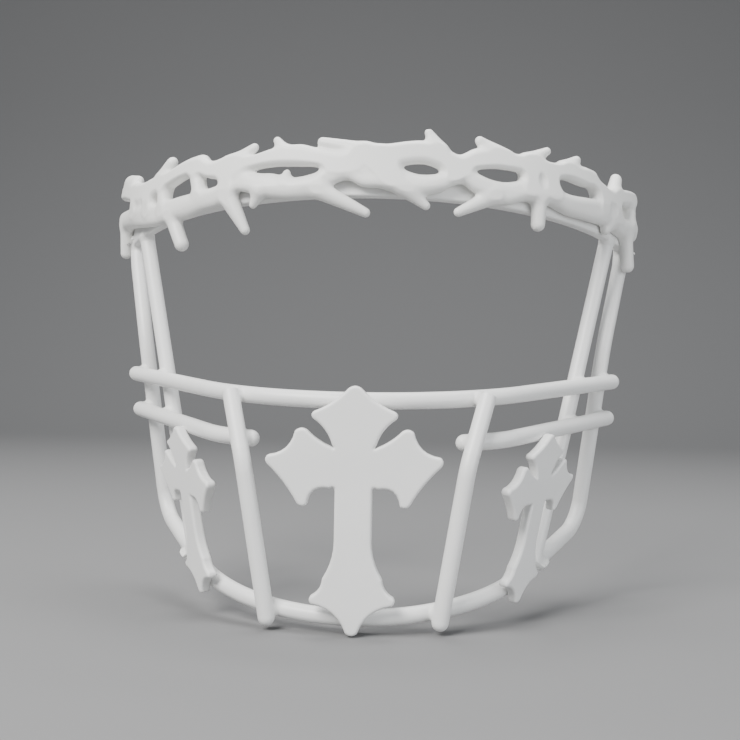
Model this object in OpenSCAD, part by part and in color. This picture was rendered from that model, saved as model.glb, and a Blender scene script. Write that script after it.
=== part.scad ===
// Face guard for an American football helmet: a welded cage of round bar with a flat
// brow strip, a crown of thorn branches on the strip and three flared crosses.
// X runs to the right of the guard as seen from its front, -Y is the front, +Z is up.
// The origin is the middle of the brow strip's rear face, where it bears on the helmet.

/* [Bar stock] */
// Coated diameter of every round bar
bar_d = 6; // [5:0.1:7.5]
// Depth that two bars melt into each other where they are welded
weld_sink = 0.5; // [0.3:0.1:0.8]
// Radius of the round weld bead at a crossing
weld_r = 4.2; // [3.9:0.1:4.6]

/* [Brow strip] */
// Radius of the strip's rear face, which follows the helmet's front
brow_r = 111; // [95:1:130]
// Thickness of the strip
strip_t = 4; // [3:0.25:6]
// Height of the strip
strip_h = 8; // [7:0.5:12]
// Angle from the middle of the strip to each of its ends
strip_end = 69; // [66:1:72]
// Slope of the strip, which falls towards its ends
strip_fall = 10.5; // [6:0.5:13]

/* [Side bars] */
// Angle along the brow strip at which each front side bar is welded
front_side_angle = 57; // [55:0.5:58]
// Angle along the brow strip at which each rear side bar is welded
rear_side_angle = 65.5; // [64:0.5:67]
// Half of the width across the bends of the front side bars, below the lower bars
front_waist_x = 75.7; // [74:0.1:78]
// Distance from the brow to those bends, backwards
front_waist_y = 31; // [29:0.5:33]
// Drop from the brow to those bends
front_waist_drop = 95; // [94:0.5:100]
// Half of the width across the feet of the front side bars on the chin bar
front_foot_x = 64.5; // [62:0.5:68]
// Half of the width across the upper bends of the rear side bars
rear_shoulder_x = 102; // [100:0.5:104]
// Drop from the brow to the upper bends of the rear side bars
rear_shoulder_drop = 22; // [18:0.5:28]
// Half of the width across the lower bends of the rear side bars
rear_waist_x = 94; // [91:0.5:96]
// Distance from the brow to these bends, backwards
rear_waist_y = 48; // [46:0.5:50]
// Drop from the brow to these bends
rear_waist_drop = 56; // [52:0.5:58]

/* [Upper and lower bars] */
// How far the front of the cage stands out before the brow
nose_out = 23; // [18:0.5:30]
// Drop from the brow to the front of the upper bar
upper_drop = 77.2; // [72:0.2:84]
// Drop from the brow to the front of the lower bars
lower_drop = 92; // [87:0.5:99]
// Slope of the upper and lower bars, which rise towards the back
bar_rise = 6.3; // [3:0.1:9]
// Half of the gap between the inner ends of the two lower bars
lower_gap_x = 37.5; // [36:0.5:39]
// Distance from the cage's front to the inner ends of the lower bars, backwards
lower_inner_y = 5.8; // [5.5:0.1:8]
// Half of the width at which the lower bars bend round to the side
lower_bend_x = 51; // [48:0.5:56]
// Length of bar that stands past the rear side bar
bar_stub = 1.5; // [1:0.25:5]

/* [Chin and centre bars] */
// Drop from the brow to the front of the chin bar
chin_drop = 152.3; // [140:0.5:165]
// Bend radius of the chin bar at the front
chin_r = 70; // [64:1:76]
// Slope of the chin bar, which rises towards the jaw
chin_rise = 18.3; // [15:0.1:21]
// Half of the width across the two jaw bends
jaw_x = 85; // [82:0.5:88]
// Centreline radius of the jaw bends
jaw_r = 14; // [11:0.5:20]
// Half of the spacing of the centre bars' welds on the upper bar
centre_top_x = 42.5; // [40:0.5:45]
// Half of the spacing of the centre bars' welds on the chin bar
centre_foot_x = 28.5; // [26:0.5:32]
// Height of the centre bars above the middle of the upper bar
centre_rise = 1; // [0:0.25:2]
// Length of the centre bars below the middle of the chin bar
centre_poke = 3; // [2:0.5:6]

/* [Crosses] */
// Height of the centre cross
cross_h = 87; // [82:0.5:94]
// Height of the centre cross's upper tip above the middle of the upper bar
cross_tip_rise = 6; // [3:0.5:9]
// Thickness of the centre cross
cross_t = 4.5; // [3.5:0.25:6]
// Size of a side cross as a share of the centre cross
side_cross_share = 0.7; // [0.6:0.01:0.76]
// Thickness of the side crosses
side_cross_t = 4; // [3:0.25:5]
// Half of the width across the side crosses' welds on the lower bars
side_cross_top_x = 65.5; // [63:0.5:67]
// Half of the width across the side crosses' welds on the chin bar
side_cross_foot_x = 54; // [52:0.5:55]
// Height of a side cross's upper tip above the middle of the lower bar
side_cross_tip_rise = 0.5; // [0:0.5:3]
// Angle by which a side cross's arms rise towards the back
side_cross_arm_rise = 4; // [0:0.5:6]

/* [Crown of thorns] */
// Depth of a branch, measured out from the helmet
branch_t = 6.4; // [5:0.2:8]
// Height of the branches and twigs as a share of the drawn height
branch_share = 1.15; // [0.9:0.05:1.25]
// How far the branches lean back over each millimetre of height
branch_lean = 0.15; // [0:0.05:0.3]

/* [Hidden] */
$fn = 64;

coat = "white";
bar_r = bar_d / 2;
bar_gap = bar_d - weld_sink;
hair = 0.01;
end_r = bar_r - 5 * hair;
strip_mid_r = brow_r + strip_t / 2;
front_bend_r = 40;
shoulder_r = 40;
waist_r = 45;
lower_bend_r = 30;
lower_poke = 1.5;
centre_bend_r = 20;
kink_drop = 9;
nose_y = -nose_out;

// ---- vectors -------------------------------------------------------------------------
function unit(v) = v / norm(v);
function flip(p) = [-p.x, p.y, p.z];
function between(a, b, t) = a + (b - a) * t;
// The point at height z on the line through a and b
function at_height(a, b, z) = between(a, b, (z - a.z) / (b.z - a.z));
// The outward normal, seen from above, of a bar that runs back from a to b on the right
function outward(a, b) = unit([b.y - a.y, a.x - b.x, 0]);
// A level step turned into the slope of the upper and lower bars
function in_slope(v) = [v.x, v.y, v.y * tan(bar_rise)];

// A point of a plane that slopes back from the nose: x across, s backwards along the slope
function on_slope(x, s, drop, rise) =
    [x, nose_y + s * cos(rise), -drop + s * sin(rise)];
// The point where the line through a and b meets such a plane
function at_slope(a, b, drop, rise) =
    let (d = b - a, k = tan(rise))
    a + d * ((-drop + (a.y - nose_y) * k - a.z) / (d.z - d.y * k));
// How far back along its plane a round front of radius r has come at x
function round_s(x, r) = r - sqrt(r * r - x * x);
// The direction straight out of a round front of radius r at x
function out_of_round(x, r) = [x / r, -sqrt(1 - x * x / (r * r)), 0];

// ---- chin bar ------------------------------------------------------------------------
jaw_turn = 61;
chin_corner_s = chin_r - chin_r / cos(jaw_turn);
chin_corner = on_slope(0, chin_corner_s, chin_drop, chin_rise);
jaw = on_slope(jaw_x, chin_corner_s + jaw_x * tan(jaw_turn), chin_drop, chin_rise);
// Where the chin bar's round front ends and its straight legs begin
chin_leg_x = chin_r * sin(jaw_turn);
function on_chin(x) = x < chin_leg_x
    ? on_slope(x, round_s(x, chin_r), chin_drop, chin_rise)
    : between(chin_corner, jaw, x / jaw_x);
function chin_line(x) = unit(on_chin(x + 1) - on_chin(x - 1));

// ---- side bars, from the brow strip down ------------------------------------------------
// A point on the brow strip's middle surface, at an angle from its middle
function on_strip(angle, z) =
    let (y = brow_r - strip_mid_r * cos(angle))
    [strip_mid_r * sin(angle), y, z * cos(strip_fall) - y * sin(strip_fall)];

front_top = on_strip(front_side_angle, -strip_h / 2);
front_waist = [front_waist_x, front_waist_y, -front_waist_drop];
front_foot = on_chin(front_foot_x);
front_line = unit(front_waist - front_top);
front_leg = unit(front_foot - front_waist);
rear_top = on_strip(rear_side_angle, -strip_h / 2);
rear_waist = [rear_waist_x, rear_waist_y, -rear_waist_drop];
rear_shoulder = [
    rear_shoulder_x, at_height(rear_top, rear_waist, -rear_shoulder_drop).y, -rear_shoulder_drop
];
rear_line = unit(jaw - rear_waist);

// ---- upper bar -----------------------------------------------------------------------
front_at_upper = at_slope(front_top, front_waist, upper_drop, bar_rise);
rear_at_upper = at_slope(rear_waist, jaw, upper_drop, bar_rise);
upper_out = outward(front_at_upper, rear_at_upper) * bar_gap;
upper_on_front = front_at_upper + in_slope(upper_out);
upper_on_rear = rear_at_upper + in_slope(upper_out);
upper_leg = unit(upper_on_rear - upper_on_front);
upper_end = upper_on_rear + upper_leg * bar_stub;
upper_corner = between(
    upper_on_front, upper_on_rear, -upper_on_front.x / (upper_on_rear.x - upper_on_front.x)
);
upper_corner_s = (upper_corner.y - nose_y) / cos(bar_rise);
upper_turn = acos(upper_leg.x);
upper_r = -upper_corner_s / (1 / cos(upper_turn) - 1);
// A point of the upper bar's round front
function on_upper(x) = on_slope(x, round_s(x, upper_r), upper_drop, bar_rise);
function upper_line(x) = unit(on_upper(x + 1) - on_upper(x - 1));

// ---- lower bars ----------------------------------------------------------------------
front_at_lower = at_slope(front_top, front_waist, lower_drop, bar_rise);
rear_at_lower = at_slope(rear_waist, jaw, lower_drop, bar_rise);
lower_out = outward(front_at_lower, rear_at_lower) * bar_gap;
lower_on_front = front_at_lower + in_slope(lower_out);
lower_on_rear = rear_at_lower + in_slope(lower_out);
lower_leg = unit(lower_on_rear - lower_on_front);
lower_end = lower_on_rear + lower_leg * bar_stub;
function on_lower_leg(x) = between(
    lower_on_front, lower_on_rear,
    (x - lower_on_front.x) / (lower_on_rear.x - lower_on_front.x)
);
lower_bend = on_lower_leg(lower_bend_x);
lower_inner = on_slope(lower_gap_x, lower_inner_y / cos(bar_rise), lower_drop, bar_rise);
lower_inner_leg = unit(lower_bend - lower_inner);
lower_at_centre = lower_inner + lower_inner_leg * lower_poke;

// ---- centre bars ---------------------------------------------------------------------
upper_at_centre = on_upper(centre_top_x);
chin_at_centre = on_chin(centre_foot_x);
centre_at_upper = upper_at_centre + out_of_round(centre_top_x, upper_r) * bar_gap;
centre_at_lower = lower_at_centre + outward(lower_inner, lower_bend) * bar_gap;
centre_at_chin = chin_at_centre + out_of_round(centre_foot_x, chin_r) * bar_gap;
centre_line = unit(centre_at_lower - centre_at_upper);
centre_top = centre_at_upper - centre_line * centre_rise;
centre_kink = centre_at_lower + centre_line * kink_drop;
centre_leg = unit(centre_at_chin - centre_kink);
centre_foot = centre_at_chin + centre_leg * centre_poke;

// ---- round bar -----------------------------------------------------------------------
module along(direction) {
    rotate([0, acos(direction.z / norm(direction)), atan2(direction.y, direction.x)])
        children();
}

module rod(a, b) {
    translate(a)
        along(b - a)
            cylinder(h = norm(b - a), r = bar_r);
}

// A short straight length of bar around p, to cut another bar or a weld with
module bar_near(p, direction) {
    translate(p)
        along(direction)
            cylinder(h = 6 * bar_r, r = bar_r, center = true);
}

// The length that a bend of radius r takes off each of its legs
function bend_take(a, b, c, r) = r * tan(acos(unit(b - a) * unit(c - b)) / 2);

// A bend reaches a little way into both of its legs, and is thinner by a hair, so that the
// solids join cleanly
module bend(a, b, c, r) {
    reach = acos(1 - hair / r);
    into = unit(b - a);
    out = unit(c - b);
    turn = acos(into * out);
    inward = unit(out - into * (into * out));
    start = b - into * r * tan(turn / 2);
    middle = start + inward * r;
    side = cross(into, inward);
    multmatrix([
        [-inward.x, into.x, side.x, middle.x],
        [-inward.y, into.y, side.y, middle.y],
        [-inward.z, into.z, side.z, middle.z],
        [0, 0, 0, 1]
    ])
        rotate([0, 0, -reach])
            rotate_extrude(angle = turn + 2 * reach)
                translate([r, 0])
                    circle(r = bar_r - 2 * hair);
}

// A bar bent at each inner point of its line to the radius given for that point
module bent_bar(line, radii) {
    last = len(line) - 1;
    for (i = [0:last - 1]) {
        leg = unit(line[i + 1] - line[i]);
        take_a = i == 0 ? 0 : bend_take(line[i - 1], line[i], line[i + 1], radii[i - 1]);
        take_b = i == last - 1 ? 0 : bend_take(line[i], line[i + 1], line[i + 2], radii[i]);
        rod(line[i] + leg * take_a, line[i + 1] - leg * take_b);
    }
    for (i = [1:last - 1])
        bend(line[i - 1], line[i], line[i + 1], radii[i - 1]);
}

module round_end(p) {
    translate(p)
        sphere(r = end_r);
}

module left() {
    mirror([1, 0, 0])
        children();
}

// ---- whole bars, before they are cut where they meet -----------------------------------
module upper_bar_whole() {
    bent_bar([flip(upper_end), upper_corner, upper_end], [upper_r]);
    round_end(upper_end);
    round_end(flip(upper_end));
}

module lower_bar_whole() {
    bent_bar([lower_inner, lower_bend, lower_end], [lower_bend_r]);
    round_end(lower_inner);
    round_end(lower_end);
}

module centre_bar_whole() {
    bent_bar([centre_top, centre_kink, centre_foot], [centre_bend_r]);
    round_end(centre_foot);
}

module front_side_bar_whole() {
    front_head = front_top - front_line * weld_sink;
    bent_bar([front_head, front_waist, front_foot], [front_bend_r]);
}

rear_head = rear_top + unit(rear_top - rear_shoulder) * weld_sink;

module jaw_bar_whole() {
    right = [jaw, rear_waist, rear_shoulder, rear_head];
    leftward = [flip(rear_head), flip(rear_shoulder), flip(rear_waist), flip(jaw)];
    bent_bar(
        concat(leftward, [chin_corner], right),
        [shoulder_r, waist_r, jaw_r, chin_r, jaw_r, waist_r, shoulder_r]
    );
}

// The round fronts of the upper bar and the chin bar
module upper_front() {
    bend(flip(upper_end), upper_corner, upper_end, upper_r);
}

module chin_front() {
    bend(flip(jaw), chin_corner, jaw, chin_r);
}

// ---- crosses ---------------------------------------------------------------------------
// Half outline of a cross of unit height with its upper tip at z = 0. Each corner is
// [x, z, length of its rounding, how far the edge to the next corner curves inwards].
cross_half = [
    [0.000, 0.000, 0.030, 0.010],
    [0.178, -0.122, 0.022, 0.012],
    [0.072, -0.262, 0.024, 0.006],
    [0.212, -0.168, 0.030, 0.026],
    [0.360, -0.302, 0.026, 0.008],
    [0.206, -0.496, 0.028, 0.030],
    [0.074, -0.400, 0.024, 0.000],
    [0.074, -0.700, 0.080, 0.012],
    [0.176, -0.856, 0.022, 0.026],
    [0.000, -1.000, 0.030, 0.000]
];
round_steps = 5;
edge_steps = 6;

function quad_curve(a, b, c, steps) = [
    for (i = [0:steps])
        let (t = i / steps)
        a * (1 - t) * (1 - t) + b * 2 * t * (1 - t) + c * t * t
];
function flat2(p) = [p.x, p.y];
function trimmed(p, towards, length) = p + unit(towards - p) * length;
function mirrored_corner(c) = [-c[0], c[1], c[2], c[3]];
function cross_corners() = concat(
    cross_half,
    // going back up the left side, an edge's curve is stored with the corner after it
    [for (i = [len(cross_half) - 2:-1:1])
        let (c = mirrored_corner(cross_half[i]))
        [c[0], c[1], c[2], cross_half[i - 1][3]]]
);
function corner_curve(before, c, after) =
    let (p = flat2(c))
    quad_curve(trimmed(p, flat2(before), c[2]), p, trimmed(p, flat2(after), c[2]), round_steps);
function edge_curve(c, after, bow) =
    let (
        a = trimmed(flat2(c), flat2(after), c[2]),
        b = trimmed(flat2(after), flat2(c), after[2]),
        d = unit(b - a),
        middle = (a + b) / 2 + [d.y, -d.x] * bow * 2,
        curve = quad_curve(a, middle, b, edge_steps)
    )
    [for (i = [1:edge_steps - 1]) curve[i]];
// The outline of a cross whose stem leans by the tangent lean while its arms stay level
function cross_outline(height, lean) =
    let (corners = cross_corners(), n = len(corners))
    [for (i = [0:n - 1])
        let (
            before = corners[(i + n - 1) % n],
            here = corners[i],
            after = corners[(i + 1) % n],
            // the bottom tip's own edge mirrors the edge that came down to it
            bow = i == len(cross_half) - 1 ? cross_half[i - 1][3] : here[3]
        )
        for (p = concat(corner_curve(before, here, after), edge_curve(here, after, bow)))
        [p.x + p.y * lean, p.y] * height];

// A cross standing in the XZ plane, its rear face on y = 0 and its front towards -Y
module cross_plate(height, thickness, lean = 0) {
    rotate([90, 0, 0])
        linear_extrude(thickness)
            polygon(cross_outline(height, lean));
}

side_h = cross_h * side_cross_share;
side_upper = on_lower_leg(side_cross_top_x);
side_lower = on_chin(side_cross_foot_x);
side_face = atan2(lower_leg.y, lower_leg.x);
side_outward = outward(lower_on_front, lower_on_rear);
side_contact = bar_r - weld_sink;
side_head = side_upper + side_outward * side_contact;
side_foot = side_lower + side_outward * side_contact;
// the line between both contacts, seen from the side cross's own upright plane
side_rise = side_head - side_foot;
side_along = side_rise * [cos(side_face), sin(side_face), 0];
side_back = side_rise * [-sin(side_face), cos(side_face), 0];
side_tip = atan(side_back / norm([side_along, side_rise.z]));
side_lean = tan(atan(side_along / side_rise.z) + side_cross_arm_rise);

module side_cross_whole() {
    translate(side_head)
        rotate([0, 0, side_face])
            rotate([-side_tip, 0, 0])
                translate([0, 0, side_cross_tip_rise])
                    rotate([0, -side_cross_arm_rise, 0])
                        cross_plate(side_h, side_cross_t, side_lean);
}

module centre_cross_whole() {
    translate([0, nose_y - bar_r + weld_sink, -upper_drop + cross_tip_rise])
        cross_plate(cross_h, cross_t);
}

// ---- crown of thorns -------------------------------------------------------------------
branch_steps = 68;
branch_first = -68;
branch_last = 64;
branch_r = branch_t / 2;
crown_r = brow_r + strip_t + branch_r - weld_sink;
facets = 12;

// Each knot of a branch is [angle along the brow, height above the strip's middle, half of
// the branch's height there].
upper_knots = [
    [-72, 9, 3.2], [-64, 8, 3.3], [-58, 6, 3.5], [-52, 4, 4], [-47, 5.5, 3.7], [-42, 7.3, 3],
    [-38, 9.8, 3], [-34, 10.8, 3.2], [-30, 8.3, 3], [-26, 9, 3.8], [-21, 9.8, 2.5],
    [-17, 11.3, 3], [-12, 11.6, 3.6], [-8, 10.3, 3], [-4, 8.5, 3.5], [0, 11, 4], [4, 11, 4],
    [8, 12.5, 3.8], [11, 12.8, 3.8], [14, 11, 4], [17, 8.5, 3.5], [20, 11, 3.5],
    [24, 12.3, 3.6], [28, 11.3, 2.9], [32, 11, 3.6], [36, 9.8, 3], [40, 10.8, 3],
    [44, 10, 3.4], [47, 9, 3], [50, 5.5, 3], [53, 3.8, 2.8], [58, 5, 3], [64, 5.7, 3.2],
    [68, 5.7, 3]
];
lower_knots = [
    [-72, -4, 3.6], [-62, -4.5, 3.6], [-56, -4.5, 4], [-50, -5.5, 4], [-45, -6.3, 3.6],
    [-40, -5.2, 3.8], [-36, -4.5, 4], [-32, -3, 3.5], [-28, -1.5, 3.5], [-24, 3, 3.5],
    [-20, 1.5, 3.5], [-17, 0.5, 4], [-13, -0.7, 3.6], [-9, 0.5, 3.8], [-6, 4, 3.5],
    [-3, 5.5, 3], [0, 3.5, 3.5], [3, 3, 3.5], [7, 1.5, 3.8], [10, 0.5, 3.5], [14, 2, 3],
    [17, 5, 2.5], [20, 2.5, 3.2], [23, 0, 3.5], [26, -0.8, 3.7], [30, 1, 3.5], [33, 1.5, 4],
    [36, 0.5, 3.5], [40, -2, 3.5], [45, -2.7, 3.8], [50, -3, 4.3], [54, -3.5, 4.5],
    [58, -6.5, 3.5], [64, -7.3, 3.8], [68, -7.5, 3.8]
];

// Each twig or thorn is [angle and height of its root, angle and height of its tip, root
// radius, tip radius].
twig_list = [
    [-66, 12.5, -59.5, 11, 2.8, 2.2], [-56, 5, -56, -3, 2.8, 2.8],
    [-49, 4, -49, -4, 3, 3], [-44, 5, -43.5, -5, 2.6, 2.6], [-34.5, 8, -33, 0, 2.6, 2.6], [-27, 7, -26, 1, 3, 2.6],
    [3, 9, 5, 3, 4.4, 3.6], [15.5, 8, 16, 5, 3, 3],
    [31, 9, 31, 2, 3.2, 3.2], [35.5, 8, 36, 2, 3.4, 3.4], [50, 4, 50, -1, 3, 3],
    [55, 3, 55.5, -4, 2.6, 2.6], [63, 5, 63, -6, 2.4, 2.4]
];
upper_thorns = [
    [-45.5, 9, -43, 14.2, 2.6, 2.0],
    [-33.2, 11, -33.2, 12.6, 2.6, 1.8], [-26, 10, -21.3, 15.6, 2.6, 1.5],
    [-14.8, 13, -16.6, 17.7, 2.4, 1.3], [0, 13.2, -7.8, 16.4, 2.6, 1.6],
    [13.3, 14, 11.6, 20.3, 3.0, 1.6], [26, 13, 21.3, 18.4, 2.8, 1.6],
    [31, 12.5, 35.9, 17.6, 2.8, 1.3], [40, 12, 43.8, 16.2, 2.6, 1.4],
    [45.5, 10, 48, 11.3, 2.6, 1.7], [55.5, 5.5, 58, 12.5, 2.6, 2.0],
    [-14.3, 1.5, -14.2, 5, 2.0, 1.1]
];
lower_thorns = [
    [-65.5, -7, -66.5, -18, 2.6, 2.1], [-41, -8, -38, -19, 2.6, 2.4],
    [-26, -3, -22.3, -15.3, 3.2, 1.6], [-19.5, -2, -20.7, -6, 2.3, 1.3],
    [-8, -1.5, 0.4, -9.8, 3.0, 1.5], [7, -0.5, 11, -6.8, 2.8, 1.4],
    [23.5, -2, 16.9, -8.6, 2.8, 1.5], [33.2, -1, 33, -11, 2.6, 2.3],
    [53.5, -6.5, 52, -9.5, 2.4, 1.7], [61, -9, 62.5, -22.5, 2.6, 2.4]
];

// A point of the crown at an angle and a height, standing out by a given amount
function on_crown(angle, z, out) =
    let (r = crown_r + out - branch_lean * max(z, 0))
    [r * sin(angle), brow_r - r * cos(angle), z];

// Smooth curve through the knots: the cubic of the four knots around each stretch
function knot_at(knots, i) = knots[max(0, min(len(knots) - 1, i))];
function smooth(a, b, c, d, t) =
    0.5 * (2 * b + (c - a) * t + (2 * a - 5 * b + 4 * c - d) * t * t
        + (3 * b - a - 3 * c + d) * t * t * t);
function stretch_of(knots, angle) =
    max([for (i = [0:len(knots) - 2]) knots[i][0] <= angle ? i : 0]);
function branch_point(knots, angle) =
    let (
        i = stretch_of(knots, angle),
        t = (angle - knots[i][0]) / (knots[i + 1][0] - knots[i][0])
    )
    smooth(knot_at(knots, i - 1), knot_at(knots, i), knot_at(knots, i + 1),
        knot_at(knots, i + 2), t);

module branch_bead(knots, angle) {
    p = branch_point(knots, angle);
    translate(on_crown(angle, p[1], 0))
        rotate([0, 0, angle])
            scale([1, 1, branch_share * p[2] / branch_r])
                sphere(r = branch_r, $fn = facets);
}

module branch(knots) {
    step = (branch_last - branch_first) / branch_steps;
    for (i = [0:branch_steps - 1])
        hull() {
            branch_bead(knots, branch_first + i * step);
            branch_bead(knots, branch_first + (i + 1) * step);
        }
}

// A twig or thorn follows the crown's curve in short straight stretches
module thorn(t, steps) {
    for (i = [0:steps - 1])
        hull() {
            thorn_ball(t, i / steps);
            thorn_ball(t, (i + 1) / steps);
        }
}

module thorn_ball(t, share) {
    here = between([t[0], t[1], t[4]], [t[2], t[3], t[5]], share);
    translate(on_crown(here[0], here[1], 0))
        sphere(r = here[2] * branch_share, $fn = facets);
}

// ---- welds -----------------------------------------------------------------------------
// A bead between a bar through p and a bar through q, which run in the directions u and v
module bead(p, u, q, v) {
    difference() {
        translate((p + q) / 2)
            sphere(r = weld_r);
        bar_near(p, u);
        bar_near(q, v);
    }
}

// A bead around the end of a side bar under the brow strip
module brow_bead(p, u) {
    difference() {
        translate(p)
            sphere(r = weld_r);
        bar_near(p + u * bar_r, u);
        brow_strip();
    }
}

module brow_bead_balls() {
    for (p = [front_top, rear_top, flip(front_top), flip(rear_top)])
        translate(p)
            sphere(r = weld_r);
}

// What the crown is fitted around
module behind_crown() {
    brow_strip();
    brow_bead_balls();
    for (side = [0, 1])
        mirror([side, 0, 0]) {
            rod(front_top, front_top + front_line * 8 * bar_r);
            rod(rear_top, rear_top + unit(rear_shoulder - rear_top) * 5 * bar_r);
        }
}

// ---- sub-parts -------------------------------------------------------------------------
module brow_strip() {
    color(coat)
        rotate([-strip_fall, 0, 0])
            translate([0, brow_r, -strip_h / 2])
                rotate([0, 0, -90 - strip_end])
                    rotate_extrude(angle = 2 * strip_end, $fn = 240)
                        translate([brow_r, 0])
                            square([strip_t, strip_h]);
}

module thorn_branch_upper() {
    color(coat)
        difference() {
            branch(upper_knots);
            behind_crown();
        }
}

module thorn_branch_lower() {
    color(coat)
        difference() {
            branch(lower_knots);
            branch(upper_knots);
            behind_crown();
        }
}

module behind_twigs() {
    branch(upper_knots);
    branch(lower_knots);
    behind_crown();
}

module twigs() {
    color(coat)
        difference() {
            for (t = twig_list)
                thorn(t, 3);
            behind_twigs();
        }
}

module thorns(list) {
    color(coat)
        difference() {
            for (t = list)
                thorn(t, 2);
            behind_twigs();
            for (t = twig_list)
                thorn(t, 3);
        }
}

module thorns_upper() {
    thorns(upper_thorns);
}

module thorns_lower() {
    thorns(lower_thorns);
}

module upper_bar() {
    color(coat)
        upper_bar_whole();
}

module lower_bar_right() {
    color(coat)
        lower_bar_whole();
}

module lower_bar_left() {
    left()
        lower_bar_right();
}

module centre_bar_right() {
    color(coat)
        difference() {
            centre_bar_whole();
            bar_near(upper_at_centre, upper_line(centre_top_x));
            bar_near(lower_at_centre, lower_inner_leg);
            bar_near(chin_at_centre, chin_line(centre_foot_x));
        }
}

module centre_bar_left() {
    left()
        centre_bar_right();
}

module front_side_bar_right() {
    color(coat)
        difference() {
            front_side_bar_whole();
            bar_near(upper_on_front, upper_leg);
            bar_near(lower_on_front, lower_leg);
            bar_near(front_foot, chin_line(front_foot_x));
            brow_strip();
        }
}

module front_side_bar_left() {
    left()
        front_side_bar_right();
}

module jaw_bar() {
    color(coat)
        difference() {
            jaw_bar_whole();
            for (side = [0, 1])
                mirror([side, 0, 0]) {
                    bar_near(upper_on_rear, upper_leg);
                    bar_near(lower_on_rear, lower_leg);
                }
            brow_strip();
        }
}

module centre_cross() {
    color(coat)
        difference() {
            centre_cross_whole();
            upper_front();
            chin_front();
        }
}

module side_cross_right() {
    color(coat)
        difference() {
            side_cross_whole();
            bar_near(side_upper, lower_leg);
            bar_near(side_lower, chin_line(side_cross_foot_x));
        }
}

module side_cross_left() {
    left()
        side_cross_right();
}

module both_sides() {
    children();
    left()
        children();
}

module brow_welds() {
    color(coat)
        both_sides() {
            brow_bead(front_top, front_line);
            brow_bead(rear_top, unit(rear_shoulder - rear_top));
        }
}

module upper_bar_welds() {
    color(coat)
        both_sides() {
            bead(upper_on_front, upper_leg, front_at_upper, front_line);
            bead(upper_on_rear, upper_leg, rear_at_upper, rear_line);
            bead(upper_at_centre, upper_line(centre_top_x),
                centre_at_upper, centre_line);
        }
}

module lower_bar_welds() {
    color(coat)
        both_sides() {
            bead(lower_on_front, lower_leg, front_at_lower, front_line);
            bead(lower_on_rear, lower_leg, rear_at_lower, rear_line);
            bead(lower_at_centre, lower_inner_leg, centre_at_lower, centre_line);
        }
}

module chin_welds() {
    color(coat)
        both_sides() {
            bead(chin_at_centre, chin_line(centre_foot_x),
                centre_at_chin, centre_leg);
            bead(front_foot, chin_line(front_foot_x), front_foot - front_leg * 2 * bar_r,
                front_leg);
        }
}

brow_strip();
thorn_branch_upper();
thorn_branch_lower();
twigs();
thorns_upper();
thorns_lower();
upper_bar();
lower_bar_left();
lower_bar_right();
centre_bar_left();
centre_bar_right();
front_side_bar_left();
front_side_bar_right();
jaw_bar();
centre_cross();
side_cross_left();
side_cross_right();
brow_welds();
upper_bar_welds();
lower_bar_welds();
chin_welds();
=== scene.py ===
import math

import bpy
import numpy as np
from mathutils import Matrix, Vector
from mathutils.bvhtree import BVHTree


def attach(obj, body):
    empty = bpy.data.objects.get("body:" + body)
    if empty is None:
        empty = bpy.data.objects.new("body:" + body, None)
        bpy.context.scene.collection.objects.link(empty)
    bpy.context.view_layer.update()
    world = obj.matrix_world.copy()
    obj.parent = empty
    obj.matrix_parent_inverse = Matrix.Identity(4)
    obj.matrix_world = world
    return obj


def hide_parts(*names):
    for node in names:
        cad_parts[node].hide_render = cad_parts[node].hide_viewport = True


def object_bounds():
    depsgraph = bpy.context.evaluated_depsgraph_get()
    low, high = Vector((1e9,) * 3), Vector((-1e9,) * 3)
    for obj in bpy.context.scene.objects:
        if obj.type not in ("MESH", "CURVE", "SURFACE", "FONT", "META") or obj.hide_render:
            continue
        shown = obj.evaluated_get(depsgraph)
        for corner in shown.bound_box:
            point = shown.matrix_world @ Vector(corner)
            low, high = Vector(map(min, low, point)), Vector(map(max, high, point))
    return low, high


MM = 0.001
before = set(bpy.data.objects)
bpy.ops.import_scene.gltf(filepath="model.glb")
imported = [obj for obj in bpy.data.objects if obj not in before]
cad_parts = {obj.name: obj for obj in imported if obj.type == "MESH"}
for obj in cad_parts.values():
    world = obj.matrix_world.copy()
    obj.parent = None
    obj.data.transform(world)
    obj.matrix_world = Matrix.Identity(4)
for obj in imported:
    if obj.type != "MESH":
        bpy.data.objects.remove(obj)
cad_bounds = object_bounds()

# ---- sizes in millimetres ----------------------------------------------------------------
BROW_R = 111.0
STRIP_T = 4.0
STRIP_H = 8.0
STRIP_END = 69.0
STRIP_FALL = 10.5
STRIP_EDGE = 0.9
STRIP_STATIONS = 230
STRIP_PLAIN_END = 1.5
CORNER_POINTS = 6
CORNER_TURN = 90 / (CORNER_POINTS - 1)
BRANCH_R = 3.2
BRANCH_LEAN = 0.15
BRANCH_FIRST = -68.0
BRANCH_LAST = 64.0
BRANCH_SINK = 0.5
CROWN_R = BROW_R + STRIP_T + BRANCH_R - BRANCH_SINK
CROWN_BLEND = 2.0
BRANCH_BLEND = 2.2
BRANCH_SHARE = 1.15
BRANCH_POWER = 2.5
RIDGE = 0.035
CROWN_TOP = 21.4
CROWN_BOTTOM = -24.4
CROWN_OUT = 3.15
CROWN_FRONT = 0.5
CROWN_TO_STRIP = 3.0
BRANCH_APART = 0.25
UPPER_TWIST = 0.11
LOWER_TWIST = -0.13
THORN_ROOM = 5
UNROLLED_ANGLES = (-72, 68)
UNROLLED_HEIGHTS = (-26.5, 23.5)
UNROLLED_DEPTHS = (-4.5, 4.5)
PLATE_EDGE = 1.05
SEAT_GAP = 0.02
FILLET = 4.6
FILLET_REACH = 6.4
FILLET_SINK = 0.05
FILLET_FADE = 1.35
FILLET_LEAST = 0.02
FILLET_CAP = 0.3
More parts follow.
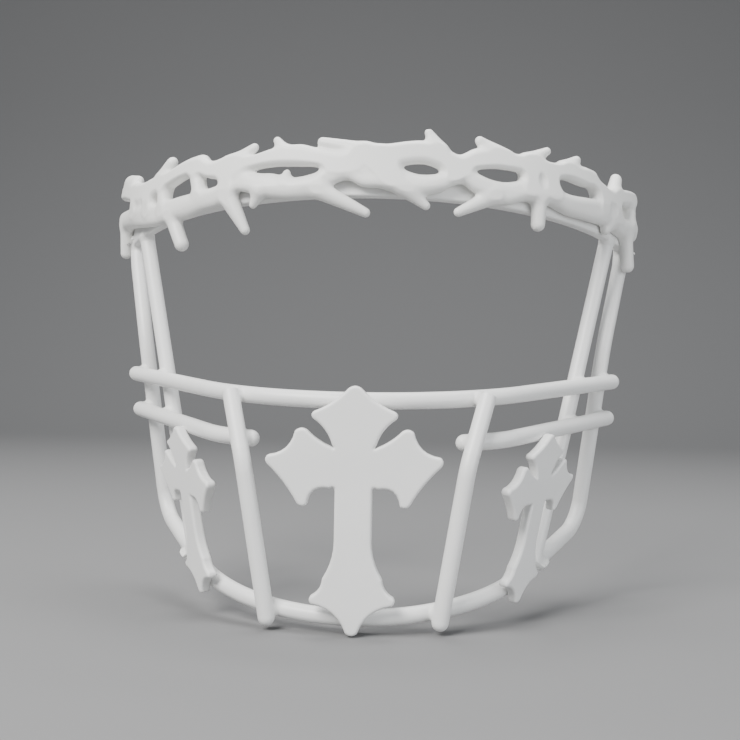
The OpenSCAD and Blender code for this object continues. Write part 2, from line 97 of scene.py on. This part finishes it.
BEAD_WIDTH = 9.0
BAR_SEARCH = 20.0
BAR_NEAR_BEAD = 5.5
SAME_DIRECTION = 0.9999
SAME_LEVEL = 0.05
SLIVER = 1e-9
POINT_DIGITS = 2

# Spacing of the grids that the pieces are drawn out of
PLATE_STEP = 0.36
WELD_STEP = 0.42
CROWN_STEP = 0.5

# Angle along the brow, height above the strip's middle, half of the branch's height
UPPER = [
    (-72, 9, 3.2), (-64, 8, 3.3), (-58, 6, 3.5), (-52, 4, 4), (-47, 5.5, 3.7), (-42, 7.3, 3),
    (-38, 9.8, 3), (-34, 10.8, 3.2), (-30, 8.3, 3), (-26, 9, 3.8), (-21, 9.8, 2.5),
    (-17, 11.3, 3), (-12, 11.6, 3.6), (-8, 10.3, 3), (-4, 8.5, 3.5), (0, 11, 4), (4, 11, 4),
    (8, 12.5, 3.8), (11, 12.8, 3.8), (14, 11, 4), (17, 8.5, 3.5), (20, 11, 3.5),
    (24, 12.3, 3.6), (28, 11.3, 2.9), (32, 11, 3.6), (36, 9.8, 3), (40, 10.8, 3),
    (44, 10, 3.4), (47, 9, 3), (50, 5.5, 3), (53, 3.8, 2.8), (58, 5, 3), (64, 5.7, 3.2),
    (68, 5.7, 3),
]
LOWER = [
    (-72, -4, 3.6), (-62, -4.5, 3.6), (-56, -4.5, 4), (-50, -5.5, 4), (-45, -6.3, 3.6),
    (-40, -5.2, 3.8), (-36, -4.5, 4), (-32, -3, 3.5), (-28, -1.5, 3.5), (-24, 3, 3.5),
    (-20, 1.5, 3.5), (-17, 0.5, 4), (-13, -0.7, 3.6), (-9, 0.5, 3.8), (-6, 4, 3.5),
    (-3, 5.5, 3), (0, 3.5, 3.5), (3, 3, 3.5), (7, 1.5, 3.8), (10, 0.5, 3.5), (14, 2, 3),
    (17, 5, 2.5), (20, 2.5, 3.2), (23, 0, 3.5), (26, -0.8, 3.7), (30, 1, 3.5), (33, 1.5, 4),
    (36, 0.5, 3.5), (40, -2, 3.5), (45, -2.7, 3.8), (50, -3, 4.3), (54, -3.5, 4.5),
    (58, -6.5, 3.5), (64, -7.3, 3.8), (68, -7.5, 3.8),
]
# Angle and height of the root, angle and height of the tip, root radius, tip radius
TWIGS = [
    (-66, 12.5, -59.5, 11, 2.8, 2.2), (-56, 5, -56, -3, 2.8, 2.8),
    (-49, 4, -49, -4, 3, 3), (-44, 5, -43.5, -5, 2.6, 2.6),
    (-34.5, 8, -33, 0, 2.6, 2.6), (-27, 7, -26, 1, 3, 2.6),
    (3, 9, 5, 3, 4.4, 3.6), (15.5, 8, 16, 5, 3, 3),
    (31, 9, 31, 2, 3.2, 3.2), (35.5, 8, 36, 2, 3.4, 3.4), (50, 4, 50, -1, 3, 3),
    (55, 3, 55.5, -4, 2.6, 2.6), (63, 5, 63, -6, 2.4, 2.4),
]
THORNS = [
    (-45.5, 9, -43, 14.2, 2.6, 2.0),
    (-33.2, 11, -33.2, 12.6, 2.6, 1.8), (-26, 10, -21.3, 15.6, 2.6, 1.5),
    (-14.8, 13, -16.6, 17.7, 2.4, 1.3), (0, 13.2, -7.8, 16.4, 2.6, 1.6),
    (13.3, 14, 11.6, 20.3, 3.0, 1.4), (26, 13, 21.3, 18.4, 2.8, 1.6),
    (31, 12.5, 35.9, 17.6, 2.8, 1.3), (40, 12, 43.8, 16.2, 2.6, 1.4),
    (45.5, 10, 48, 11.3, 2.6, 1.7), (55.5, 5.5, 58, 12.5, 2.6, 2.0),
    (-14.3, 1.5, -14.2, 5, 2.0, 1.1), (-65.5, -7, -66.5, -18, 2.6, 2.1),
    (-41, -8, -38, -19, 2.6, 2.4), (-26, -3, -22.3, -15.3, 3.2, 1.6),
    (-19.5, -2, -20.7, -6, 2.3, 1.3), (-8, -1.5, 0.4, -9.8, 3.0, 1.5),
    (7, -0.5, 11, -6.8, 2.8, 1.4), (23.5, -2, 16.9, -8.6, 2.8, 1.5),
    (33.2, -1, 33, -11, 2.6, 2.3), (53.5, -6.5, 52, -9.5, 2.4, 1.7),
    (61, -9, 62.5, -21.9, 2.6, 2.4),
]


# ---- mesh helpers ------------------------------------------------------------------------
def surface(field, lo, step):
    """Closed quad surface where the field changes sign; the field is negative inside."""
    field = field.copy()
    for axis in range(3):
        np.moveaxis(field, axis, 0)[0] = 1.0
        np.moveaxis(field, axis, 0)[-1] = 1.0
    cells = tuple(n - 1 for n in field.shape)
    total = np.zeros(cells + (3,))
    count = np.zeros(cells)
    crossings = []
    for axis in range(3):
        order = (axis, (axis + 1) % 3, (axis + 2) % 3)
        turned = field.transpose(order)
        a, b = turned[:-1], turned[1:]
        cross = (a < 0) != (b < 0)
        share = np.where(cross, a / np.where(cross, a - b, 1.0), 0.0)
        crossings.append((order, cross, a < 0))
        t_total = total.transpose(order + (3,))
        t_count = count.transpose(order)
        m, n = turned.shape[1] - 1, turned.shape[2] - 1
        for i in (0, 1):
            for j in (0, 1):
                c = cross[:, i:i + m, j:j + n]
                t_total[..., order[0]] += share[:, i:i + m, j:j + n]
                t_total[..., order[1]] += c * i
                t_total[..., order[2]] += c * j
                t_count += c
    has = count > 0
    index = np.full(cells, -1)
    index[has] = np.arange(int(has.sum()))
    corner = np.argwhere(has)
    verts = (corner + total[has] / count[has][:, None]) * step + np.array(lo)
    faces = []
    for order, cross, a_in in crossings:
        idx = index.transpose(order)
        c = cross[:, 1:-1, 1:-1]
        keep = a_in[:, 1:-1, 1:-1][c]
        quad = np.stack([
            idx[:, :-1, :-1][c], idx[:, 1:, :-1][c], idx[:, 1:, 1:][c], idx[:, :-1, 1:][c],
        ], axis=1)
        quad[~keep] = quad[~keep][:, ::-1]
        faces.append(quad)
    return verts, np.concatenate(faces)


def grid(lo, hi, step):
    """Coordinates of every point of a box-shaped grid."""
    axes = [np.arange(a, b + step, step) for a, b in zip(lo, hi)]
    return np.meshgrid(*axes, indexing="ij")


def blend(a, b, k):
    """Union of two fields, rounded over a width of k where they meet."""
    h = np.maximum(k - np.abs(a - b), 0) / k
    return np.minimum(a, b) - h * h * k / 4


def piece(name, verts, faces, slot, nodes):
    """Makes an object that stands for CAD nodes and takes its finish from a slot."""
    mesh = bpy.data.meshes.new(name)
    mesh.from_pydata((np.asarray(verts) * MM).tolist(), [],
                       [[int(i) for i in face] for face in faces])
    mesh.shade_smooth()
    mesh.update()
    made = bpy.data.objects.new(name, mesh)
    bpy.context.scene.collection.objects.link(made)
    mesh.materials.append(COATS[slot])
    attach(made, "root")
    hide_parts(*nodes)


def cad_mesh(node):
    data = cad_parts[node].data
    verts = np.array([v.co[:] for v in data.vertices]) / MM
    tris = [tuple(p.vertices) for p in data.polygons]
    return verts, tris


def tree_of(verts, faces):
    return BVHTree.FromPolygons([Vector(v) for v in verts], [tuple(f) for f in faces])


def distance(tree, points, far=12.0):
    """Distance of each point from a surface, negative inside it."""
    out = np.full(len(points), far)
    for i, p in enumerate(points):
        spot, normal, _, d = tree.find_nearest(p, far)
        if spot is not None:
            out[i] = d if (Vector(p) - spot).dot(normal) >= 0 else -d
    return out


# ---- finish ------------------------------------------------------------------------------
def coat(name, colour, rough, peel, grain):
    mat = bpy.data.materials.new(name)
    mat.use_nodes = True
    tree = mat.node_tree
    shader = tree.nodes["Principled BSDF"]

    def node(kind, **values):
        made = tree.nodes.new(kind)
        for key, value in values.items():
            made.inputs[key].default_value = value
        return made

    place = tree.nodes.new("ShaderNodeTexCoord")
    cloud = node("ShaderNodeTexNoise", Scale=38.0, Detail=3.0)
    skin = node("ShaderNodeTexNoise", Scale=peel, Detail=2.0)
    fleck = node("ShaderNodeTexNoise", Scale=2600.0, Detail=1.0)
    for tex in (cloud, skin, fleck):
        tree.links.new(place.outputs["Object"], tex.inputs["Vector"])
    shade = tree.nodes.new("ShaderNodeValToRGB")
    shade.color_ramp.elements[0].position = 0.3
    shade.color_ramp.elements[0].color = (*[c * 0.955 for c in colour], 1)
    shade.color_ramp.elements[1].position = 0.7
    shade.color_ramp.elements[1].color = (*colour, 1)
    tree.links.new(cloud.outputs["Fac"], shade.inputs["Fac"])
    shape = tree.nodes.new("ShaderNodeNewGeometry")
    # Painted highlight: sharp convex edges (high pointiness) are made up to 4% lighter, standing
    # in for rounded edges catching the light.
    edge_highlight_amount = tree.nodes.new("ShaderNodeMapRange")
    edge_highlight_amount.inputs["From Min"].default_value = 0.52
    edge_highlight_amount.inputs["From Max"].default_value = 0.6
    edge_highlight_amount.inputs["To Max"].default_value = 0.45
    tree.links.new(shape.outputs["Pointiness"], edge_highlight_amount.inputs["Value"])
    painted_edge_highlight = tree.nodes.new("ShaderNodeMix")
    painted_edge_highlight.data_type = "RGBA"
    painted_edge_highlight.inputs["B"].default_value = (*[min(1, c * 1.04) for c in colour], 1)
    tree.links.new(edge_highlight_amount.outputs["Result"], painted_edge_highlight.inputs["Factor"])
    tree.links.new(shade.outputs["Color"], painted_edge_highlight.inputs["A"])
    # Painted shade: creases and hollows (low pointiness) are mixed up to 35% towards a dark grey,
    # standing in for shade falling between parts.
    crease_shade_amount = tree.nodes.new("ShaderNodeMapRange")
    crease_shade_amount.inputs["From Min"].default_value = 0.4
    crease_shade_amount.inputs["From Max"].default_value = 0.49
    crease_shade_amount.inputs["To Min"].default_value = 0.35
    crease_shade_amount.inputs["To Max"].default_value = 0.0
    tree.links.new(shape.outputs["Pointiness"], crease_shade_amount.inputs["Value"])
    painted_crease_shade = tree.nodes.new("ShaderNodeMix")
    painted_crease_shade.data_type = "RGBA"
    painted_crease_shade.inputs["B"].default_value = (0.5, 0.49, 0.47, 1)
    tree.links.new(crease_shade_amount.outputs["Result"], painted_crease_shade.inputs["Factor"])
    tree.links.new(painted_edge_highlight.outputs["Result"], painted_crease_shade.inputs["A"])
    tree.links.new(painted_crease_shade.outputs["Result"], shader.inputs["Base Color"])
    gloss = tree.nodes.new("ShaderNodeMapRange")
    gloss.inputs["To Min"].default_value = rough - 0.06
    gloss.inputs["To Max"].default_value = rough + 0.08
    tree.links.new(cloud.outputs["Fac"], gloss.inputs["Value"])
    tree.links.new(gloss.outputs["Result"], shader.inputs["Roughness"])
    rise = node("ShaderNodeBump", Strength=0.22, Distance=0.00012)
    fine = node("ShaderNodeBump", Strength=grain, Distance=0.00005)
    tree.links.new(skin.outputs["Fac"], rise.inputs["Height"])
    tree.links.new(fleck.outputs["Fac"], fine.inputs["Height"])
    tree.links.new(rise.outputs["Normal"], fine.inputs["Normal"])
    tree.links.new(fine.outputs["Normal"], shader.inputs["Normal"])
    shader.inputs["Coat Weight"].default_value = 0.12
    shader.inputs["Coat Roughness"].default_value = 0.3
    return mat


WHITE = (0.80, 0.80, 0.79)
COATS = {
    "coated_bar": coat("bar_coat", WHITE, 0.40, 620.0, 0.10),
    "coated_plate": coat("plate_coat", WHITE, 0.43, 520.0, 0.12),
    "coated_crown": coat("crown_coat", (0.81, 0.81, 0.79), 0.48, 420.0, 0.18),
    "coated_weld": coat("weld_coat", (0.80, 0.80, 0.785), 0.46, 700.0, 0.16),
}
BARS = [
    "upper_bar", "lower_bar_left", "lower_bar_right", "centre_bar_left", "centre_bar_right",
    "front_side_bar_left", "front_side_bar_right", "jaw_bar",
]
trees = {}
for name in BARS:
    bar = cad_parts[name]
    bar.data.materials.clear()
    bar.data.materials.append(COATS["coated_bar"])
    trees[name] = tree_of(*cad_mesh(name))


# ---- brow strip --------------------------------------------------------------------------
def strip_point(angle, out, up):
    """Point of the strip at an angle, so far out from its rear face and up from its middle."""
    a = math.radians(angle)
    fall = math.radians(-STRIP_FALL)
    x = (BROW_R + out) * math.sin(a)
    y = BROW_R - (BROW_R + out) * math.cos(a)
    return (x, y * math.cos(fall) - up * math.sin(fall),
            y * math.sin(fall) + up * math.cos(fall))


def strip_ring(angle, inset):
    """Rounded oblong section of the strip, drawn in from its outline by the inset."""
    corner = STRIP_EDGE - inset * 0.5
    ring = []
    for quarter, (side_out, side_up) in enumerate(((1, 1), (-1, 1), (-1, -1), (1, -1))):
        for i in range(CORNER_POINTS):
            t = math.radians(90 * quarter + CORNER_TURN * i)
            out = side_out * (STRIP_T / 2 - inset - corner) + corner * math.cos(t)
            up = side_up * (STRIP_H / 2 - inset - corner) + corner * math.sin(t)
            ring.append(strip_point(angle, STRIP_T / 2 + out, up))
    return ring


def build_strip():
    turn = math.degrees(1 / BROW_R)
    rounding = []
    for i in range(CORNER_POINTS):
        t = math.radians(CORNER_TURN * i)
        rounding.append((STRIP_EDGE * (1 - math.cos(t)), STRIP_EDGE * (1 - math.sin(t))))
    stations = [(-STRIP_END + along * turn, inset) for along, inset in rounding]
    span = STRIP_END - STRIP_PLAIN_END
    stations += [(-span + 2 * span * i / STRIP_STATIONS, 0) for i in range(STRIP_STATIONS + 1)]
    stations += [(STRIP_END - along * turn, inset) for along, inset in reversed(rounding)]
    rings = [strip_ring(angle, inset) for angle, inset in stations]
    n = len(rings[0])
    verts = [p for ring in rings for p in ring]
    faces = []
    for i in range(len(rings) - 1):
        for j in range(n):
            k = (j + 1) % n
            faces.append((i * n + j, (i + 1) * n + j, (i + 1) * n + k, i * n + k))
    faces.append(tuple(range(n)))
    faces.append(tuple((len(rings) - 1) * n + j for j in range(n - 1, -1, -1)))
    return verts, faces


strip_verts, strip_faces = build_strip()
trees["brow_strip"] = tree_of(strip_verts, strip_faces)
piece("brow_strip_rounded", strip_verts, strip_faces, "coated_plate", ["brow_strip"])


# ---- crosses -----------------------------------------------------------------------------
def front_outline(node):
    """Outline of a flat plate's front face, with the face's axes and the plate's thickness."""
    verts, tris = cad_mesh(node)
    corners = verts[np.array([t for t in tris if len(t) == 3])]
    normal = np.cross(corners[:, 1] - corners[:, 0], corners[:, 2] - corners[:, 0])
    area = np.linalg.norm(normal, axis=1)
    real = area > SLIVER
    corners = corners[real]
    normal = normal[real] / area[real][:, None]
    area = area[real]
    best = max(range(len(area)), key=lambda i: (
        area[(normal @ normal[i]) > SAME_DIRECTION].sum() * (normal[i][1] < 0)))
    face_out = normal[best]
    depth = verts @ face_out
    level = corners[best][0] @ face_out
    same_way = (normal @ face_out) > SAME_DIRECTION
    front = corners[same_way & (abs(corners[:, 0] @ face_out - level) < SAME_LEVEL)]
    across = np.cross([0, 0, 1], face_out)
    across = across / np.linalg.norm(across)
    up = np.cross(face_out, across)
    flat = np.stack([front @ across, front @ up], axis=-1)
    edges = {}
    for tri in np.round(flat, POINT_DIGITS):
        keys = [tuple(p) for p in tri]
        for a, b in zip(keys, keys[1:] + keys[:1]):
            if a != b:
                edges[(a, b)] = True
    follow = {}
    for a, b in edges:
        if (b, a) not in edges:
            follow.setdefault(a, []).append(b)
    loops = []
    while follow:
        start = next(iter(follow))
        loop = [start]
        while loop[-1] in follow:
            step = follow[loop[-1]].pop()
            if not follow[loop[-1]]:
                del follow[loop[-1]]
            loop.append(step)
            if step == start:
                break
        loops.append(np.array(loop[:-1]))
    outline = max(loops, key=lambda loop: np.ptp(loop[:, 1]) + np.ptp(loop[:, 0]))
    return outline, across, up, face_out, level, level - depth.min()


def outline_distance(outline, x, y):
    """Distance of flat points from a closed outline, negative inside it."""
    far = np.full(x.shape, 1e9)
    inside = np.zeros(x.shape, bool)
    for (ax, ay), (bx, by) in zip(outline, np.roll(outline, -1, axis=0)):
        ex, ey = bx - ax, by - ay
        share = np.clip(((x - ax) * ex + (y - ay) * ey) / (ex * ex + ey * ey), 0, 1)
        far = np.minimum(far, (x - ax - share * ex) ** 2 + (y - ay - share * ey) ** 2)
        if ay != by:
            inside ^= ((ay > y) != (by > y)) & (x < ax + (y - ay) * ex / ey)
    return np.where(inside, -1, 1) * np.sqrt(far)


def build_plate(node, step):
    """The CAD plate's outline and thickness again, with rounded edges."""
    outline, across, up, face_out, level, thick = front_outline(node)
    lo = outline.min(0) - 3 * step
    hi = outline.max(0) + 3 * step
    u = np.arange(lo[0], hi[0] + step, step)
    v = np.arange(lo[1], hi[1] + step, step)
    flat_u, flat_v = np.meshgrid(u, v, indexing="ij")
    side = outline_distance(outline, flat_u, flat_v) + SEAT_GAP
    w = np.arange(-thick - 3 * step, 3 * step, step)
    cap = np.abs(w + thick / 2) - thick / 2 + SEAT_GAP
    a = side[:, :, None] + PLATE_EDGE
    b = cap[None, None, :] + PLATE_EDGE
    field = np.sqrt(np.maximum(a, 0) ** 2 + np.maximum(b, 0) ** 2)
    field = field + np.minimum(np.maximum(a, b), 0) - PLATE_EDGE
    verts, faces = surface(field, (lo[0], lo[1], w[0]), step)
    placed = (verts[:, 0:1] * across + verts[:, 1:2] * up + (level + verts[:, 2:3]) * face_out)
    if np.cross(across, up) @ face_out < 0:
        faces = faces[:, ::-1]
    return placed, faces


for node in ("centre_cross", "side_cross_left", "side_cross_right"):
    placed, faces = build_plate(node, PLATE_STEP)
    piece(node + "_rounded", placed, faces, "coated_plate", [node])


# ---- welds -------------------------------------------------------------------------------
def bead_centres(node):
    """Middle of each separate bead of a weld node."""
    verts, _ = cad_mesh(node)
    centres = []
    left = verts
    while len(left):
        near = np.linalg.norm(left - left[0], axis=1) < BEAD_WIDTH
        group = left[near]
        centres.append((group.min(0) + group.max(0)) / 2)
        left = left[~near]
    return centres


def build_fillet(centre, step):
    """Smooth joint of the bars around a bead, drawn in where it would follow a bar."""
    near = []
    for tree in trees.values():
        spot, _, _, d = tree.find_nearest(Vector(centre), BAR_SEARCH)
        if spot is not None and d < BAR_NEAR_BEAD:
            near.append(tree)
    lo = centre - FILLET_REACH - step
    hi = centre + FILLET_REACH + step
    gx, gy, gz = grid(lo, hi, step)
    points = np.stack([gx.ravel(), gy.ravel(), gz.ravel()], axis=1)
    away = np.linalg.norm(points - centre, axis=1)
    inner = away < FILLET_REACH + step
    k = FILLET * np.clip(FILLET_FADE * (1 - away[inner] / FILLET_REACH), FILLET_LEAST, 1)
    value = None
    for tree in near:
        d = distance(tree, points[inner])
        value = d if value is None else blend(value, d, k)
    field = np.full(len(points), 1.0)
    field[inner] = np.maximum(value + FILLET_SINK, away[inner] - FILLET_REACH + FILLET_CAP)
    return surface(field.reshape(gx.shape), lo, step)


for node in ("brow_welds", "upper_bar_welds", "lower_bar_welds", "chin_welds"):
    verts = []
    faces = []
    count = 0
    for centre in bead_centres(node):
        v, f = build_fillet(centre, WELD_STEP)
        verts.append(v)
        faces.append(f + count)
        count += len(v)
    piece(node + "_smooth", np.concatenate(verts), np.concatenate(faces), "coated_weld", [node])


# ---- crown -------------------------------------------------------------------------------
def smooth_row(knots, angles):
    """Cubic through the knots, as rows of height and half height along the angles."""
    k = np.array(knots, float)
    i = np.clip(np.searchsorted(k[:, 0], angles, side="right") - 1, 0, len(k) - 2)
    t = (angles - k[i, 0]) / (k[i + 1, 0] - k[i, 0])
    a, b = k[np.maximum(i - 1, 0), 1:], k[i, 1:]
    c, d = k[i + 1, 1:], k[np.minimum(i + 2, len(k) - 1), 1:]
    t = t[:, None]
    return 0.5 * (2 * b + (c - a) * t + (2 * a - 5 * b + 4 * c - d) * t * t
                  + (3 * b - a - 3 * c + d) * t * t * t)


def branch_field(knots, s, z, q, turn, twist):
    """Rounded oblong branch in unrolled space, with three slow ridges winding round it."""
    row = smooth_row(knots, np.clip(s / turn, BRANCH_FIRST, BRANCH_LAST))
    slope = np.gradient(row[:, 0], s)
    lean = 1 / np.sqrt(1 + slope ** 2)
    high = BRANCH_SHARE * row[:, 1][:, None, None]
    past = np.maximum(np.maximum(BRANCH_FIRST * turn - s, s - BRANCH_LAST * turn), 0)
    dz = z - row[:, 0][:, None, None]
    wind = np.arctan2(dz, q + 0.001)
    ridge = RIDGE * np.cos(3 * wind + s[:, None, None] * twist)
    norm = (np.abs(dz / high) ** BRANCH_POWER + np.abs(q / BRANCH_R) ** BRANCH_POWER
            + (past[:, None, None] / BRANCH_R) ** BRANCH_POWER) ** (1 / BRANCH_POWER)
    return (norm + ridge - 1) * np.minimum(high, BRANCH_R) * lean[:, None, None]


def thorn_field(thorn, s, z, q, turn):
    """Tapered thorn with round ends in unrolled space."""
    s1, z1, s2, z2, r1, r2 = thorn
    r1, r2 = BRANCH_SHARE * r1, BRANCH_SHARE * r2
    s1, s2 = s1 * turn, s2 * turn
    ds, dz = s2 - s1, z2 - z1
    share = ((s[:, None, None] - s1) * ds + (z - z1) * dz) / (ds * ds + dz * dz)
    share = np.clip(share, 0, 1)
    d = np.sqrt((s[:, None, None] - s1 - share * ds) ** 2 + (z - z1 - share * dz) ** 2 + q ** 2)
    return d - (r1 + (r2 - r1) * share)


def build_crown(step):
    """Branches, twigs and thorns in one surface, rolled up round the brow strip."""
    turn = math.radians(1) * CROWN_R
    s = np.arange(UNROLLED_ANGLES[0] * turn, UNROLLED_ANGLES[1] * turn, step)
    z = np.arange(*UNROLLED_HEIGHTS, step)[None, :, None]
    q = np.arange(*UNROLLED_DEPTHS, step)[None, None, :]
    field = blend(branch_field(UPPER, s, z, q - BRANCH_APART, turn, UPPER_TWIST),
                  branch_field(LOWER, s, z, q + BRANCH_APART, turn, LOWER_TWIST), BRANCH_BLEND)
    for thorn in TWIGS + THORNS:
        reach = max(thorn[4], thorn[5]) + THORN_ROOM
        use = (s > min(thorn[0], thorn[2]) * turn - reach) & (
            s < max(thorn[0], thorn[2]) * turn + reach)
        part = thorn_field(thorn, s[use], z, q, turn)
        field[use] = blend(field[use], part, CROWN_BLEND)
    verts, faces = surface(field, (s[0], z[0, 0, 0], q[0, 0, 0]), step)
    high = np.clip(verts[:, 1], CROWN_BOTTOM, CROWN_TOP)
    out = np.clip(verts[:, 2], -CROWN_OUT, CROWN_OUT)
    a = verts[:, 0] / CROWN_R
    r = CROWN_R + out - BRANCH_LEAN * np.maximum(high, 0)
    placed = np.stack([r * np.sin(a), BROW_R - r * np.cos(a), high], axis=1)
    strip = trees["brow_strip"]
    for i in np.nonzero(out < CROWN_FRONT)[0]:
        spot, normal, _, _ = strip.find_nearest(Vector(placed[i]), CROWN_TO_STRIP)
        if spot is not None and (Vector(placed[i]) - spot).dot(normal) < 0:
            placed[i] = spot + normal * SEAT_GAP
    return placed, faces


crown_verts, crown_faces = build_crown(CROWN_STEP)
piece("thorn_crown", crown_verts, crown_faces, "coated_crown",
      [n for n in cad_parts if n.startswith(("thorn", "twig"))])


# ---- floor, light and camera, in metres --------------------------------------------------
FLOOR_GAP = 0.0005
FLOOR_HALF = 9.0
FLOOR_BACK = 0.9
SWEEP_Y = 1.0
SWEEP_R = 0.6
SWEEP_POINTS = 13
WALL_TOP = 5.0


def build_backdrop():
    """Floor that sweeps up into a wall behind the guard."""
    floor = cad_bounds[0][2] - FLOOR_GAP
    profile = [(-FLOOR_HALF, floor), (FLOOR_BACK, floor)]
    for i in range(SWEEP_POINTS):
        t = math.radians(90 / (SWEEP_POINTS - 1) * i)
        profile.append((SWEEP_Y + SWEEP_R * math.sin(t), floor + SWEEP_R - SWEEP_R * math.cos(t)))
    profile.append((SWEEP_Y + SWEEP_R, floor + WALL_TOP))
    verts = [(x, y, z) for y, z in profile for x in (-FLOOR_HALF, FLOOR_HALF)]
    faces = [(2 * i, 2 * i + 1, 2 * i + 3, 2 * i + 2) for i in range(len(profile) - 1)]
    mesh = bpy.data.meshes.new("backdrop")
    mesh.from_pydata(verts, [], faces)
    mesh.shade_smooth()
    made = bpy.data.objects.new("backdrop", mesh)
    bpy.context.scene.collection.objects.link(made)
    mat = bpy.data.materials.new("backdrop_paper")
    mat.use_nodes = True
    shader = mat.node_tree.nodes["Principled BSDF"]
    shader.inputs["Base Color"].default_value = (0.19, 0.19, 0.192, 1)
    shader.inputs["Roughness"].default_value = 0.9
    mesh.materials.append(mat)


build_backdrop()


def lamp(name, place, target, size, power, tint):
    data = bpy.data.lights.new(name, "AREA")
    data.shape = "RECTANGLE"
    data.size = size[0]
    data.size_y = size[1]
    data.energy = power
    data.color = tint
    made = bpy.data.objects.new(name, data)
    made.location = place
    made.rotation_euler = (Vector(target) - Vector(place)).to_track_quat("-Z", "Y").to_euler()
    bpy.context.scene.collection.objects.link(made)


lamp("key", (-0.55, -0.75, 0.75), (0, 0.02, -0.06), (0.7, 0.6), 29.0, (1.0, 0.99, 0.97))
lamp("fill", (0.9, -0.6, 0.15), (0, 0.02, -0.07), (0.7, 0.7), 7.0, (0.96, 0.98, 1.0))
lamp("top", (0.05, 0.25, 0.95), (0, 0.03, -0.06), (0.9, 0.7), 13.0, (1.0, 1.0, 1.0))
world = bpy.data.worlds.new("studio")
world.use_nodes = True
world.node_tree.nodes["Background"].inputs["Color"].default_value = (0.9, 0.95, 1.0, 1)
world.node_tree.nodes["Background"].inputs["Strength"].default_value = 0.42
bpy.context.scene.world = world

lens = bpy.data.cameras.new("camera")
lens.lens = 53.3
lens.sensor_width = 36.0
lens.clip_start = 0.01
camera = bpy.data.objects.new("camera", lens)
camera.matrix_world = (Matrix.Translation((0.031, -0.401, -0.0665))
                       @ Matrix.Rotation(math.radians(4), 4, "Z")
                       @ Matrix.Rotation(math.radians(-1), 4, "Y")
                       @ Matrix.Rotation(math.radians(90), 4, "X"))
bpy.context.scene.collection.objects.link(camera)
bpy.context.scene.camera = camera

bpy.context.view_layer.update()
